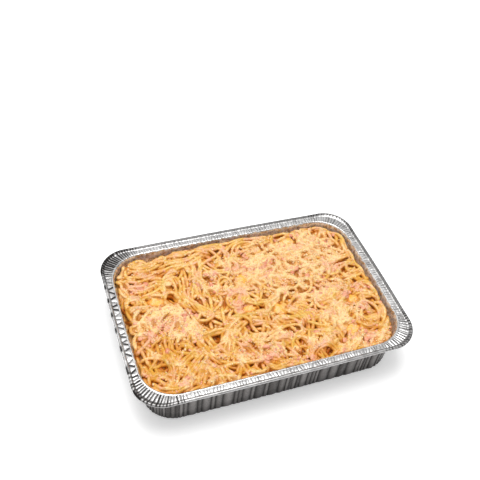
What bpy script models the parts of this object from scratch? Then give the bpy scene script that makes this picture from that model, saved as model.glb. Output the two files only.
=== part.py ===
"""Catering half tray of creamy spaghetti, in its fluted aluminium foil tray.

Metres, +Z up, +X along the tray's long side. The origin is the centre of the
tray's flat base, which stands on the surface at z = 0.
"""
import math

import bmesh
import bpy
from mathutils import Matrix, Vector

# ---- driving dimensions: the tray ----
TRAY_LENGTH = 0.327          # over the rolled rim, along X
TRAY_WIDTH = 0.225           # over the rolled rim, along Y
TRAY_HEIGHT = 0.059          # base to the top of the rolled rim
RIM_CORNER_RADIUS = 0.034    # outer edge of the rim
RIM_WIDTH = 0.0125           # outer edge to the mouth of the tray
MOUTH_CORNER_RADIUS = 0.038
SIDE_BOW = 0.0008            # how far the straight sides belly out
SHEET = 0.0006               # thickness of the foil
BEAD_RADIUS = 0.0021         # rolled outer edge of the rim
BEAD_TURN = (150, 80, 10, -80)   # directions of its facets, from its inner side over the top
FLANGE_DROP = 0.0021         # flat of the rim below the top of the bead
LIP = 0.0010                 # chamfer between flange and wall
WALL_LEAN = 0.0028           # how much further in the wall's foot is than its top
FOOT = 0.0035                # chamfer between wall and base
FLUTE_DEPTH = 0.0011         # ridge to valley of the pleated wall
FLUTES_LONG = 20             # pleats on a long side, a short side and a corner
FLUTES_SHORT = 11
FLUTES_CORNER = 7

# ---- driving dimensions: the food ----
GAP = 0.0004                 # clearance between food and foil, and round the lumps
PASTA_LEVEL = 0.0492         # mean height of the pasta's top
PASTA_SWELL = 0.0017         # height of its broad waves
PASTA_DROOP = 0.0030         # how far its edge sinks at the foil
EXTRA_DROOP = 0.0055         # how much further it sinks at the left end
DROOP_WIDTH = 0.17           # share of the half width over which it sinks
PASTA_LONG = 16              # facets on a long side, a short side and a corner
PASTA_SHORT = 10
PASTA_CORNER = 5
PASTA_RINGS = (1.0, 0.97, 0.93, 0.87, 0.79, 0.69, 0.58, 0.46, 0.33, 0.20, 0.07)
LUMP_RISE = 0.0014           # how far a lump's top stands above the pasta round it
# lumps of half-melted cheese: place (x, y), size (x, y, z), turn in degrees
CHEESE_LUMPS = (
    ((-0.110, 0.028), (0.0225, 0.0150, 0.0100), 15),
    ((-0.002, 0.037), (0.0160, 0.0150, 0.0095), 40),
    ((-0.008, -0.009), (0.0200, 0.0140, 0.0100), -10),
    ((0.026, -0.018), (0.0170, 0.0145, 0.0095), 65),
    ((0.076, 0.082), (0.0190, 0.0150, 0.0100), 20),
    ((0.098, -0.068), (0.0210, 0.0150, 0.0095), -25),
    ((0.117, -0.027), (0.0170, 0.0130, 0.0090), 50),
)

# the corners of mouth, wall and food all turn about these centres
CORNER_X = TRAY_LENGTH / 2 - RIM_WIDTH - MOUTH_CORNER_RADIUS
CORNER_Y = TRAY_WIDTH / 2 - RIM_WIDTH - MOUTH_CORNER_RADIUS
FLANGE_TOP = TRAY_HEIGHT - FLANGE_DROP
WALL_TOP = FLANGE_TOP - SHEET - LIP
WELD = 1e-6


def clear_scene():
    """Remove what the open file holds, so that the script can be run again."""
    for obj in list(bpy.data.objects):
        bpy.data.objects.remove(obj, do_unlink=True)
    for collection in list(bpy.data.collections):
        bpy.data.collections.remove(collection)
    for material in list(bpy.data.materials):
        bpy.data.materials.remove(material)


def new_collection(name):
    collection = bpy.data.collections.new(name)
    bpy.context.scene.collection.children.link(collection)
    return collection


def new_material(name, colour, roughness, metallic=0.0):
    material = bpy.data.materials.new(name)
    material.use_nodes = True
    shader = material.node_tree.nodes["Principled BSDF"]
    shader.inputs["Base Color"].default_value = (*colour, 1.0)
    shader.inputs["Roughness"].default_value = roughness
    shader.inputs["Metallic"].default_value = metallic
    return material


def new_object(name, bm, collection, material=None):
    bmesh.ops.recalc_face_normals(bm, faces=bm.faces)
    mesh = bpy.data.meshes.new(name)
    bm.to_mesh(mesh)
    bm.free()
    if material:
        mesh.materials.append(material)
    obj = bpy.data.objects.new(name, mesh)
    collection.objects.link(obj)
    return obj


def reach(angle, inset, radius):
    """Distance from a corner centre to a rounded outline, in a first-quadrant direction.

    The outline lies inset inside the rim's outer edge, with a corner radius of its own.
    """
    side_x = TRAY_LENGTH / 2 - inset
    side_y = TRAY_WIDTH / 2 - inset
    across, up = math.cos(angle), math.sin(angle)
    if across > WELD:
        along = (side_x - CORNER_X) / across
        if CORNER_Y + along * up <= side_y - radius:
            return along
    if up > WELD:
        along = (side_y - CORNER_Y) / up
        if CORNER_X + along * across <= side_x - radius:
            return along
    off_x = CORNER_X - (side_x - radius)
    off_y = CORNER_Y - (side_y - radius)
    half_b = across * off_x + up * off_y
    return -half_b + math.sqrt(half_b ** 2 - off_x ** 2 - off_y ** 2 + radius ** 2)


def stations(on_long, on_short, on_corner):
    """Places round the tray, anticlockwise: a foot on the frame of corner centres, a direction."""
    found = []
    for quarter in range(4):
        corner = Vector((CORNER_X if quarter in (0, 3) else -CORNER_X,
                         CORNER_Y if quarter in (0, 1) else -CORNER_Y))
        start = quarter * math.pi / 2
        for step in range(on_corner):
            found.append((corner, start + step / on_corner * math.pi / 2))
        runs_along_x = quarter in (0, 2)
        count = on_long if runs_along_x else on_short
        for step in range(count):
            part = 1 - 2 * step / count
            foot = Vector((corner.x * part, corner.y)) if runs_along_x else Vector((corner.x, corner.y * part))
            found.append((foot, start + math.pi / 2))
    return found


def outline_point(station, inset, radius, push=0.0):
    """Point of a rounded outline at a station, moved outwards by push."""
    foot, angle = station
    folded = math.atan2(abs(math.sin(angle)), abs(math.cos(angle)))
    distance = reach(folded, inset, radius) + push
    point = foot + distance * Vector((math.cos(angle), math.sin(angle)))
    if abs(foot.x) < CORNER_X - WELD:
        point.y += math.copysign(SIDE_BOW * (1 - (foot.x / CORNER_X) ** 2), foot.y)
    if abs(foot.y) < CORNER_Y - WELD:
        point.x += math.copysign(SIDE_BOW * (1 - (foot.y / CORNER_Y) ** 2), foot.x)
    return point


def ringed_surface(rings, fill_first, fill_last):
    """Surface through closed rings of points, made from a grid whose ends are welded."""
    around = len(rings[0])
    bm = bmesh.new()
    bmesh.ops.create_grid(bm, x_segments=around, y_segments=len(rings) - 1, size=0.5)
    for vert in bm.verts:
        column = round((vert.co.x + 0.5) * around) % around
        row = round((vert.co.y + 0.5) * (len(rings) - 1))
        vert.co = rings[row][column]
    bmesh.ops.remove_doubles(bm, verts=bm.verts, dist=WELD)
    for wanted, ring in ((fill_first, rings[0]), (fill_last, rings[-1])):
        if wanted:
            level = {tuple(round(value, 6) for value in point) for point in ring}
            edge_of_hole = [edge for edge in bm.edges if edge.is_boundary and all(
                tuple(round(value, 6) for value in vert.co) in level for vert in edge.verts)]
            bmesh.ops.edgeloop_fill(bm, edges=edge_of_hole)
    return bm


def wall_inset(z):
    """How far the pleated wall's middle lies inside the rim's outer edge, at a height."""
    return RIM_WIDTH + WALL_LEAN * (1 - z / WALL_TOP)


def build_tray(collection, material):
    """Foil tray: base, pleated wall, flat rim and rolled edge, as one sheet."""
    places = stations(FLUTES_LONG * 2, FLUTES_SHORT * 2, FLUTES_CORNER * 2)

    def ring(inset, radius, z, pleat=0.0):
        points = []
        for index, station in enumerate(places):
            flat = outline_point(station, inset, radius, pleat * (0.5 if index % 2 else -0.5))
            points.append(flat.to_3d() + Vector((0, 0, z)))
        return points

    def wall_radius(inset):
        return MOUTH_CORNER_RADIUS + RIM_WIDTH - inset

    foot_inset = wall_inset(FOOT)
    rings = [ring(foot_inset + FOOT, wall_radius(foot_inset + FOOT), 0.0),
             ring(foot_inset, wall_radius(foot_inset), FOOT, FLUTE_DEPTH),
             ring(RIM_WIDTH, MOUTH_CORNER_RADIUS, WALL_TOP, FLUTE_DEPTH),
             ring(RIM_WIDTH - LIP, MOUTH_CORNER_RADIUS + LIP, FLANGE_TOP - SHEET),
             ring(2 * BEAD_RADIUS + SHEET / 2, RIM_CORNER_RADIUS, FLANGE_TOP - SHEET)]
    inner_radius = BEAD_RADIUS - SHEET
    for turn in BEAD_TURN:
        outwards = inner_radius * math.cos(math.radians(turn))
        upwards = inner_radius * math.sin(math.radians(turn))
        rings.append(ring(BEAD_RADIUS - outwards, RIM_CORNER_RADIUS - BEAD_RADIUS + outwards,
                          TRAY_HEIGHT - BEAD_RADIUS + upwards))
    bm = ringed_surface(rings, fill_first=True, fill_last=False)
    tray = new_object("foil_tray", bm, collection, material)
    sheet = tray.modifiers.new("sheet", "SOLIDIFY")
    sheet.thickness = SHEET
    sheet.offset = 1.0
    sheet.use_even_offset = True
    return tray


def pasta_top(x, y, share):
    """Height of the heap's top at a place that lies at a share of the way to the foil."""
    swell = (0.50 * math.sin(x / 0.021 + 0.6) * math.cos(y / 0.017 - 0.4)
             + 0.25 * math.sin((x + y) / 0.034)
             + 0.25 * math.sin((x - 1.7 * y) / 0.026 + 1.1))
    to_left_end = max(0.0, -x / (TRAY_LENGTH / 2 - RIM_WIDTH))
    sunk = PASTA_DROOP + EXTRA_DROOP * to_left_end ** 4
    near_foil = max(0.0, (share - 1 + DROOP_WIDTH) / DROOP_WIDTH)
    return PASTA_LEVEL + PASTA_SWELL * swell - sunk * near_foil ** 2


def share_to_wall(x, y):
    """Share of the way from the middle to the foil, for a place on the heap."""
    half_x = TRAY_LENGTH / 2 - wall_inset(PASTA_LEVEL)
    half_y = TRAY_WIDTH / 2 - wall_inset(PASTA_LEVEL)
    return max(abs(x) / half_x, abs(y) / half_y)


def build_pasta(collection, material, cutters):
    """Heap of sauced spaghetti: fills the tray, with a wavy top and a pocket for each lump."""
    places = stations(PASTA_LONG, PASTA_SHORT, PASTA_CORNER)
    clear_of_wall = SHEET + FLUTE_DEPTH / 2 + GAP

    def ring(inset, z):
        radius = MOUTH_CORNER_RADIUS + RIM_WIDTH - inset
        return [outline_point(station, inset, radius).to_3d() + Vector((0, 0, z)) for station in places]

    foot_inset = wall_inset(FOOT)
    rings = [ring(foot_inset + FOOT + clear_of_wall, SHEET + GAP),
             ring(foot_inset + clear_of_wall, FOOT + SHEET + GAP)]
    lowest_edge = PASTA_LEVEL - PASTA_SWELL - PASTA_DROOP - EXTRA_DROOP
    rim_of_heap = ring(wall_inset(lowest_edge) + clear_of_wall, 0.0)
    for share in PASTA_RINGS:
        turned = []
        for point in rim_of_heap:
            x, y = point.x * share, point.y * share
            turned.append(Vector((x, y, pasta_top(x, y, share))))
        rings.append(turned)
    bm = ringed_surface(rings, fill_first=True, fill_last=True)
    pasta = new_object("pasta_heap", bm, collection, material)
    pockets = pasta.modifiers.new("pockets", "BOOLEAN")
    pockets.operation = "DIFFERENCE"
    pockets.operand_type = "COLLECTION"
    pockets.collection = cutters
    pockets.solver = "EXACT"
    return pasta


def lump_shape(size, grow):
    """Rounded, uneven lump about its own centre, each half axis longer by grow."""
    bm = bmesh.new()
    bmesh.ops.create_icosphere(bm, subdivisions=2, radius=1.0)
    half = Vector(size) / 2
    for vert in bm.verts:
        x, y, z = vert.co
        uneven = 1 + 0.07 * math.sin(3.1 * x + 400 * size[0]) * math.cos(2.3 * y) + 0.04 * math.sin(4 * z)
        vert.co = Vector([value * (axis * uneven + grow) for value, axis in zip((x, y, z), half)])
    return bm


def build_lumps(collection, material, cutters):
    """Lumps of cheese sunk in the pasta, and the tools that cut their pockets."""
    for number, ((x, y), size, turn) in enumerate(CHEESE_LUMPS, start=1):
        top = pasta_top(x, y, share_to_wall(x, y)) + LUMP_RISE
        place = Matrix.Translation((x, y, top - size[2] / 2)) @ Matrix.Rotation(math.radians(turn), 4, "Z")
        lump = new_object(f"cheese_lump_{number}", lump_shape(size, 0.0), collection, material)
        lump.matrix_world = place
        lump.data.shade_smooth()
        cutter = new_object(f"pocket_{number}", lump_shape(size, GAP), cutters)
        cutter.matrix_world = place
        cutter.hide_render = True
        cutter.display_type = "WIRE"


def main():
    clear_scene()
    meal = new_collection("foil_tray_meal")
    cutters = new_collection("cutters")
    foil = new_material("aluminium_foil", (0.80, 0.80, 0.81), 0.28, 1.0)
    sauced = new_material("sauced_pasta", (0.85, 0.50, 0.16), 0.45)
    cheese = new_material("cheese", (0.90, 0.48, 0.08), 0.40)
    build_tray(meal, foil)
    build_lumps(meal, cheese, cutters)
    build_pasta(meal, sauced, cutters)


main()
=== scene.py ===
# A catering tray of creamy spaghetti in fluted foil: the looks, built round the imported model.
import math

import bmesh
import bpy
import numpy as np
from mathutils import Matrix, Vector, noise
from mathutils.kdtree import KDTree


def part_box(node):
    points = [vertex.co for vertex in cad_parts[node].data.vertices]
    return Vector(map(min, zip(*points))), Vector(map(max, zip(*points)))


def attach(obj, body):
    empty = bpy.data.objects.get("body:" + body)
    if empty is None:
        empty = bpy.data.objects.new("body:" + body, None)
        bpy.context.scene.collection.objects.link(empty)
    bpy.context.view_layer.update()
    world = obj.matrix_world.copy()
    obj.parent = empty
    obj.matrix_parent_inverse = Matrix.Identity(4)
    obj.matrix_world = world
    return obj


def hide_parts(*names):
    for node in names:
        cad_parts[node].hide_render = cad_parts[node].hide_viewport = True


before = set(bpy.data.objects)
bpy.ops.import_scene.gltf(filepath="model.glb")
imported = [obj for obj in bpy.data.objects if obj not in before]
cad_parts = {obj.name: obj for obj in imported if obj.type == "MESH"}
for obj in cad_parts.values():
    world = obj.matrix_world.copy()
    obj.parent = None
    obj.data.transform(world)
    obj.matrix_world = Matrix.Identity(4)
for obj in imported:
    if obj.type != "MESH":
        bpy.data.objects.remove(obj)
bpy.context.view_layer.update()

scene = bpy.context.scene
millimetre = 0.001


# small helpers
def linearColour(hexValue):
    # sRGB hex to the linear values that shader sockets take
    channels = [int(hexValue[start:start + 2], 16) / 255 for start in (1, 3, 5)]
    straight = [c / 12.92 if c <= 0.04045 else ((c + 0.055) / 1.055) ** 2.4 for c in channels]
    return (*straight, 1.0)


def addNode(tree, kind, settings=None, inputs=None):
    # a plain value sets an input, and a socket is linked to it
    node = tree.nodes.new(kind)
    for name, value in (settings or {}).items():
        setattr(node, name, value)
    for name, value in (inputs or {}).items():
        if isinstance(value, bpy.types.NodeSocket):
            tree.links.new(value, node.inputs[name])
        else:
            node.inputs[name].default_value = value
    return node


def newMaterial(name, surface=None):
    material = bpy.data.materials.new(name)
    material.use_nodes = True
    tree = material.node_tree
    tree.nodes.clear()
    shader = addNode(tree, "ShaderNodeBsdfPrincipled", None, surface)
    addNode(tree, "ShaderNodeOutputMaterial", None, {"Surface": shader.outputs["BSDF"]})
    return material, tree, shader


def mixed(tree, first, second, share):
    # colours are given as hex text or as sockets
    ends = [linearColour(colour) if isinstance(colour, str) else colour for colour in (first, second)]
    return addNode(tree, "ShaderNodeMix", {"data_type": "RGBA"},
                   {0: share, 6: ends[0], 7: ends[1]}).outputs[2]


def laidOver(tree, under, over, mask, start, full, most=1.0):
    # a colour that covers the one under it more and more as the mask goes from start to full
    share = addNode(tree, "ShaderNodeMapRange", {"interpolation_type": "SMOOTHSTEP"}, {
        "Value": mask, "From Min": start, "From Max": full, "To Max": most}).outputs["Result"]
    return mixed(tree, under, over, share)


def setStops(ramp, stops):
    # a new ramp has two stops, and the others are added
    for number, (position, colour) in enumerate(stops):
        if number < 2:
            stop = ramp.elements[number]
            stop.position = position
        else:
            stop = ramp.elements.new(position)
        stop.color = colour


def newPiece(name, bm, material, smooth=True):
    mesh = bpy.data.meshes.new(name)
    bm.to_mesh(mesh)
    bm.free()
    if smooth:
        mesh.shade_smooth()
    mesh.materials.append(material)
    piece = bpy.data.objects.new(name, mesh)
    scene.collection.objects.link(piece)
    print(name, "has", sum(len(face.vertices) - 2 for face in mesh.polygons), "triangles")
    return piece


# camera, light and floor
cameraView = {
    "place": (-0.22686, -0.45904, 0.66314),
    "yaw": 23.62,          # turned from +Y towards +X
    "pitch": 45.20,        # below the horizon
    "roll": 6.50,
    "lens": 50.86,
    "sensor": 36.0,
}


def addCamera(view):
    data = bpy.data.cameras.new("frontCamera")
    data.lens = view["lens"]
    data.sensor_width = view["sensor"]
    data.clip_start = 0.01
    camera = bpy.data.objects.new("frontCamera", data)
    turn = (Matrix.Rotation(-math.radians(view["yaw"]), 4, "Z")
            @ Matrix.Rotation(math.radians(90 - view["pitch"]), 4, "X")
            @ Matrix.Rotation(math.radians(view["roll"]), 4, "Z"))
    camera.matrix_world = Matrix.Translation(view["place"]) @ turn
    scene.collection.objects.link(camera)
    scene.camera = camera


studio = {
    "softboxSide": 0.9,
    "softboxPlace": (-0.10, 0.05, 1.50),
    "softboxAim": (0.0, 0.0, 0.03),
    "softboxWatts": 14.0,
    "leftStrength": 1.3,
    "rightStrength": 0.9,
    # how light the room is at a height: 0 is level with the floor, 1 straight up
    "room": ((0.0, 0.95), (0.06, 0.95), (0.14, 0.08), (0.30, 0.12), (0.50, 0.32), (0.60, 0.70),
             (0.70, 1.05), (0.76, 0.62), (0.85, 0.44), (0.93, 1.05), (1.0, 1.50)),
    "floorSide": 8.0,
}


def addStudio(studio):
    lamp = bpy.data.lights.new("softbox", "AREA")
    lamp.shape = "SQUARE"
    lamp.size = studio["softboxSide"]
    lamp.energy = studio["softboxWatts"]
    softbox = bpy.data.objects.new("softbox", lamp)
    place = Vector(studio["softboxPlace"])
    softbox.location = place
    softbox.rotation_euler = (Vector(studio["softboxAim"]) - place).to_track_quat("-Z", "Y").to_euler()
    scene.collection.objects.link(softbox)

    # a white ceiling and a pale horizon with darker walls between, so that creased foil finds
    # light and dark to mirror
    world = bpy.data.worlds.new("studioRoom")
    scene.world = world
    world.use_nodes = True
    tree = world.node_tree
    tree.nodes.clear()
    direction = addNode(tree, "ShaderNodeSeparateXYZ", None,
                        {"Vector": addNode(tree, "ShaderNodeTexCoord").outputs["Generated"]})
    ramp = addNode(tree, "ShaderNodeValToRGB", None, {"Fac": direction.outputs["Z"]})
    setStops(ramp.color_ramp, [(height, (level, level, level, 1.0)) for height, level in studio["room"]])
    sideLight = addNode(tree, "ShaderNodeMapRange", None, {
        "Value": direction.outputs["X"], "From Min": -1.0, "From Max": 1.0,
        "To Min": studio["leftStrength"], "To Max": studio["rightStrength"]})
    background = addNode(tree, "ShaderNodeBackground", None,
                         {"Color": ramp.outputs["Color"], "Strength": sideLight.outputs["Result"]})
    addNode(tree, "ShaderNodeOutputWorld", None, {"Surface": background.outputs["Background"]})

    # matt white table top
    paint = newMaterial("mattWhiteTable", {
        "Base Color": linearColour("#F4F4F4"), "Roughness": 0.9, "Specular IOR Level": 0.1,
        "Emission Color": linearColour("#FFFFFF"), "Emission Strength": 0.34})[0]
    bm = bmesh.new()
    bmesh.ops.create_grid(bm, x_segments=1, y_segments=1, size=studio["floorSide"] / 2,
                          matrix=Matrix.Translation((0, 0, -0.2 * millimetre)))
    floor = newPiece("floor", bm, paint, smooth=False)


addCamera(cameraView)
addStudio(studio)
scene.view_settings.view_transform = "Standard"
print("camera, light and floor are set")


# the foil tray
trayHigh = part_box("foil_tray")[1]
foilTray = {
    "bow": 0.8 * millimetre,            # how far the straight sides belly out
    "clearance": 0.15 * millimetre,     # kept inside the model's box
    "rimCorner": 34.0 * millimetre,
    "rimWidth": 12.5 * millimetre,
    "mouthCorner": 38.0 * millimetre,
    "bead": 2.0 * millimetre,           # radius of the rolled edge
    "flangeDrop": 2.1 * millimetre,     # flange below the top of the bead
    "sheet": 0.3 * millimetre,
    "lip": 1.0 * millimetre,
    "lean": 2.8 * millimetre,           # wall's foot further in than its top
    "foot": 3.5 * millimetre,
    "spacing": 0.62 * millimetre,       # between the mesh's columns
    "panelPush": 1.35 * millimetre,     # pleated panel to crease
    # least and greatest width of the pleats and of the folds in the rim, in millimetres
    "cornerPanels": (3.8, 7.0),
    "narrowPanels": (3.4, 5.0),
    "widePanels": (7.5, 13.5),
    "cornerFolds": (2.6, 4.0),
    "sideFolds": (2.6, 4.6),
    "scallopPitch": 5.0 * millimetre,
    # painted shade on the rolled edge and the flange, which also makes them rougher, at 0, 45, 90 ...
    # degrees round from the right end
    "beadShadeAndDull": (0.74, 0.66, 0.78, 0.72, 0.0, 0.62, 0.46, 0.46, 0.74),
    "flangeShadeAndDull": (0.0, 0.0, 0.0, 0.28, 0.0, 0.40, 0.18, 0.16, 0.0),
    "lensPitch": 24.0 * millimetre,     # pitch of the painted shade in lens shapes under the rolled edge at the left
    "panelInset": 9.0 * millimetre,     # raised middle of the base
    "panelRise": 0.6 * millimetre,
    "seed": 7,
}
halfLength = trayHigh.x - foilTray["bow"] - foilTray["clearance"]
halfWidth = trayHigh.y - foilTray["bow"] - foilTray["clearance"]
rimTop = trayHigh.z - foilTray["clearance"]
cornerX = halfLength - foilTray["rimWidth"] - foilTray["mouthCorner"]
cornerY = halfWidth - foilTray["rimWidth"] - foilTray["mouthCorner"]


def traySides(spacing):
    # stations round the tray, anticlockwise: foot on the frame of corner centres, direction, run
    cornerRun = math.pi / 2 * (foilTray["mouthCorner"] + foilTray["rimWidth"] / 2)
    feet, angles, runs, corner = [], [], [], []
    run = 0.0
    for quarter in range(4):
        centre = np.array([cornerX if quarter in (0, 3) else -cornerX,
                           cornerY if quarter in (0, 1) else -cornerY])
        start = quarter * math.pi / 2
        count = round(cornerRun / spacing)
        part = np.arange(count) / count
        feet.append(np.tile(centre, (count, 1)))
        angles.append(start + part * math.pi / 2)
        runs.append(run + part * cornerRun)
        corner.append(np.sin(part * math.pi) ** 0.5)
        run += cornerRun
        alongX = quarter in (0, 2)
        side = 2 * (cornerX if alongX else cornerY)
        count = round(side / spacing)
        part = np.arange(count) / count
        line = np.tile(centre, (count, 1))
        line[:, 0 if alongX else 1] *= 1 - 2 * part
        feet.append(line)
        angles.append(np.full(count, start + math.pi / 2))
        runs.append(run + part * side)
        corner.append(np.zeros(count))
        run += side
    return np.concatenate(feet), np.concatenate(angles), np.concatenate(runs), np.concatenate(corner), run


def outlineReach(angle, inset, radius):
    # distance from a corner centre to a rounded outline that lies inset inside the rim's edge
    sideX, sideY = halfLength - inset, halfWidth - inset
    across, up = np.abs(np.cos(angle)), np.abs(np.sin(angle))
    tiny = 1e-9
    toX = (sideX - cornerX) / np.maximum(across, tiny)
    toY = (sideY - cornerY) / np.maximum(up, tiny)
    offX, offY = cornerX - (sideX - radius), cornerY - (sideY - radius)
    halfB = across * offX + up * offY
    toArc = -halfB + np.sqrt(np.maximum(halfB ** 2 - offX ** 2 - offY ** 2 + radius ** 2, 0.0))
    onX = (across > tiny) & (cornerY + toX * up <= sideY - radius)
    onY = (up > tiny) & (cornerX + toY * across <= sideX - radius)
    return np.where(onX, toX, np.where(onY, toY, toArc))


def outlineRing(sides, inset, radius, z, push=0.0):
    # one ring of the tray's surface, moved outwards by push
    feet, angle = sides[0], sides[1]
    reach = outlineReach(angle, inset, radius) + push
    x = feet[:, 0] + reach * np.cos(angle)
    y = feet[:, 1] + reach * np.sin(angle)
    onLong = (np.abs(feet[:, 0]) < cornerX - 1e-6)
    onShort = (np.abs(feet[:, 1]) < cornerY - 1e-6)
    y += np.where(onLong, np.sign(feet[:, 1]) * foilTray["bow"] * (1 - (feet[:, 0] / cornerX) ** 2), 0)
    x += np.where(onShort, np.sign(feet[:, 0]) * foilTray["bow"] * (1 - (feet[:, 1] / cornerY) ** 2), 0)
    return np.stack([x, y, np.broadcast_to(z, x.shape)], axis=1)


def unevenMarks(total, pitchAt, random):
    # places along a run, spaced by an uneven pitch that depends on the place
    marks = [0.0]
    while marks[-1] < total:
        low, high = pitchAt(marks[-1])
        marks.append(marks[-1] + random.uniform(low, high))
    marks = np.array(marks)
    return marks * total / marks[-1]


def buildTray(tray, sides):
    random = np.random.default_rng(tray["seed"])
    run, corner, total = sides[2], sides[3], sides[4]

    def cornerAt(place):
        return float(np.interp(place % total, run, corner))

    def outlook(place):
        return float(np.interp(place % total, run, sides[1]))

    # pleats: wide panels that bulge a little, with a narrow crease between each two
    def panelPitch(at):
        if cornerAt(at) > 0.2:
            return np.array(tray["cornerPanels"]) * millimetre
        return np.array((tray["narrowPanels"], tray["widePanels"])[random.integers(0, 2)]) * millimetre

    creases = unevenMarks(total, panelPitch, random)
    depth = random.uniform(0.65, 1.15, len(creases))
    index = np.clip(np.searchsorted(creases, run, side="right") - 1, 0, len(creases) - 2)
    part = (run - creases[index]) / (creases[index + 1] - creases[index])
    bulge = np.abs(np.sin(part * math.pi)) ** 0.55
    creaseDepth = depth[index] * (1 - part) + depth[(index + 1) % len(depth)] * part
    # each panel's random tone, going dark at its creases: partly painted shade
    panelToneAndCreaseShade = random.uniform(0, 1, len(creases))[index] * bulge
    narrow = np.clip((creases[index + 1] - creases[index]) / (7 * millimetre), 0.5, 1)
    pleat = tray["panelPush"] * (bulge - 0.62) * creaseDepth * narrow
    pleat += 0.12 * millimetre * np.sin(part * math.pi * 3 + index * 1.7) * bulge

    # crimps in the flange: small folds, shallow on the straight sides and deep in the corners
    def foldPitch(at):
        if cornerAt(at) > 0.1:
            return np.array(tray["cornerFolds"]) * millimetre
        widen = 1 + 0.7 * max(0.0, -math.cos(outlook(at)))      # wider apart at the left end
        return np.array(tray["sideFolds"]) * widen * millimetre

    folds = unevenMarks(total, foldPitch, random)[:-1]
    inCorner = np.array([cornerAt(at) for at in folds])
    facing = np.array([outlook(at) for at in folds])
    ends, front = np.abs(np.cos(facing)), np.clip(-np.sin(facing), 0, 1)
    pitch = np.diff(np.append(folds, total))
    room = np.minimum(pitch, np.roll(pitch, 1))
    lean = random.uniform(-0.42, 0.42, len(folds)) * room * (1 - 0.7 * inCorner)
    # at the left end the folds lean to and fro by turns
    zigzag = np.where(np.arange(len(folds)) % 2, 0.42, -0.42) * random.uniform(0.5, 1.0, len(folds)) * room
    lean = np.where((np.cos(facing) < -0.9) & (inCorner < 0.2), zigzag, lean)
    foldRise = millimetre * (0.34 + 0.22 * ends - 0.06 * front + 0.40 * inCorner)
    foldRise *= random.uniform(0.35, 1.3, len(folds))
    left = np.clip(-np.cos(facing), 0, 1)
    backLeft = np.clip(np.cos(facing - math.radians(135)), 0, 1) ** 3 * inCorner
    backRight = np.clip(np.cos(facing - math.radians(45)), 0, 1) ** 3 * inCorner
    # painted shade in the slits, strongest at the left end, in the corners and at the back left
    foldDark = 0.80 + 0.45 * left + 0.20 * inCorner + 0.3 * backLeft - 0.3 * backRight
    foldDark *= random.uniform(0.45, 1.2, len(folds))
    foldHalf = millimetre * (0.50 + 0.16 * inCorner + 1.3 * left * (1 - inCorner) + 0.35 * backLeft)
    # each fold is highest at a share of the flange's width, and reaches this far from there
    foldMiddle = random.uniform(0.4, 0.6, len(folds)) * (1 - inCorner) + 0.5 * inCorner
    foldReach = random.uniform(0.5, 0.9, len(folds)) * (1 - inCorner) + 0.9 * inCorner

    def crimp(share):
        # how high the folds stand at a share of the flange's width, and how much painted shade lies in the
        # slits between
        marks = folds + 2 * lean * (share - 0.5)
        marks = np.concatenate([marks[-2:] - total, marks, marks[:2] + total])
        before = np.searchsorted(marks, run, side="right") - 1
        part = (run - marks[before]) / (marks[before + 1] - marks[before])
        owner = (before - 2) % len(folds)
        after = (owner + 1) % len(folds)
        reach = np.clip(1.15 - ((share - foldMiddle) / foldReach) ** 2, 0, 1) ** 0.5
        height = foldRise[owner] * reach[owner] * (1 - part) + foldRise[after] * reach[after] * part
        toMark = np.minimum(run - marks[before], marks[before + 1] - run)
        nearer = np.where(part < 0.5, owner, after)
        dark = foldDark[nearer] * reach[nearer] * np.exp(-(toMark / foldHalf[nearer]) ** 2)
        return height * (np.abs(np.sin(part * math.pi)) ** 0.8 - 1), np.clip(dark, 0, 1)

    bearing = np.degrees(sides[1]) % 360
    # painted shade on the rolled edge and the flange, round the tray; it also makes them rougher
    beadShadeAndDull = np.interp(bearing, np.arange(0, 361, 45), tray["beadShadeAndDull"])
    flangeShadeAndDull = np.interp(bearing, np.arange(0, 361, 45), tray["flangeShadeAndDull"])

    flange = rimTop - tray["flangeDrop"]
    wallTop = flange - tray["lip"]
    beadInset = 2 * tray["bead"]
    rings, dark, outside, tone = [], [], [], []

    def addRing(inset, radius, z, push=0.0, darkness=0.0, outer=0.0):
        rings.append(outlineRing(sides, inset, radius, z, push))
        dark.append(np.broadcast_to(darkness, run.shape))
        outside.append(np.full(run.shape, outer))
        tone.append(panelToneAndCreaseShade)

    def wallInset(z):
        return tray["rimWidth"] + tray["lean"] * (1 - z / wallTop)

    def wallRadius(inset):
        return tray["mouthCorner"] + tray["rimWidth"] - inset

    def addWallRing(inset, z, *rest):
        addRing(inset, wallRadius(inset), z, *rest)

    sheet = tray["sheet"]
    footInset = wallInset(tray["foot"])
    # inside: base, foot, wall, lip
    inner = footInset + tray["foot"] + tray["panelInset"] + sheet
    addWallRing(inner, tray["panelRise"] + sheet)
    addWallRing(inner - 1.5 * millimetre, sheet)
    addWallRing(footInset + tray["foot"] + sheet, sheet)
    for z in (tray["foot"] + sheet, 0.016, 0.028, 0.038, 0.044, 0.048, 0.052, wallTop - 1.2 * millimetre):
        wobble = 0.12 * millimetre * np.sin(run / 0.0021 + z * 900) * np.sin(run / 0.0093)
        # painted shade in the creases of the inner wall
        creaseShade = (1 - bulge) ** 3 * 0.6
        addWallRing(wallInset(z) + sheet, z, pleat + wobble, creaseShade, 0.5)
    # painted shade of the slits where the flange meets the mouth
    atMouth = crimp(0.1)[1]
    lipSlitShade = atMouth * np.clip(np.sin(sides[1]), 0, 1)       # at the back the painted shade of the slits runs on over the lip
    addRing(tray["rimWidth"] + 0.1 * millimetre, tray["mouthCorner"], wallTop, pleat * 0.7, 0.0, 0.3)
    addRing(tray["rimWidth"] - 0.45 * millimetre, tray["mouthCorner"] + 0.4 * millimetre,
            flange - 0.25 * millimetre, pleat * 0.35, lipSlitShade)
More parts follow.
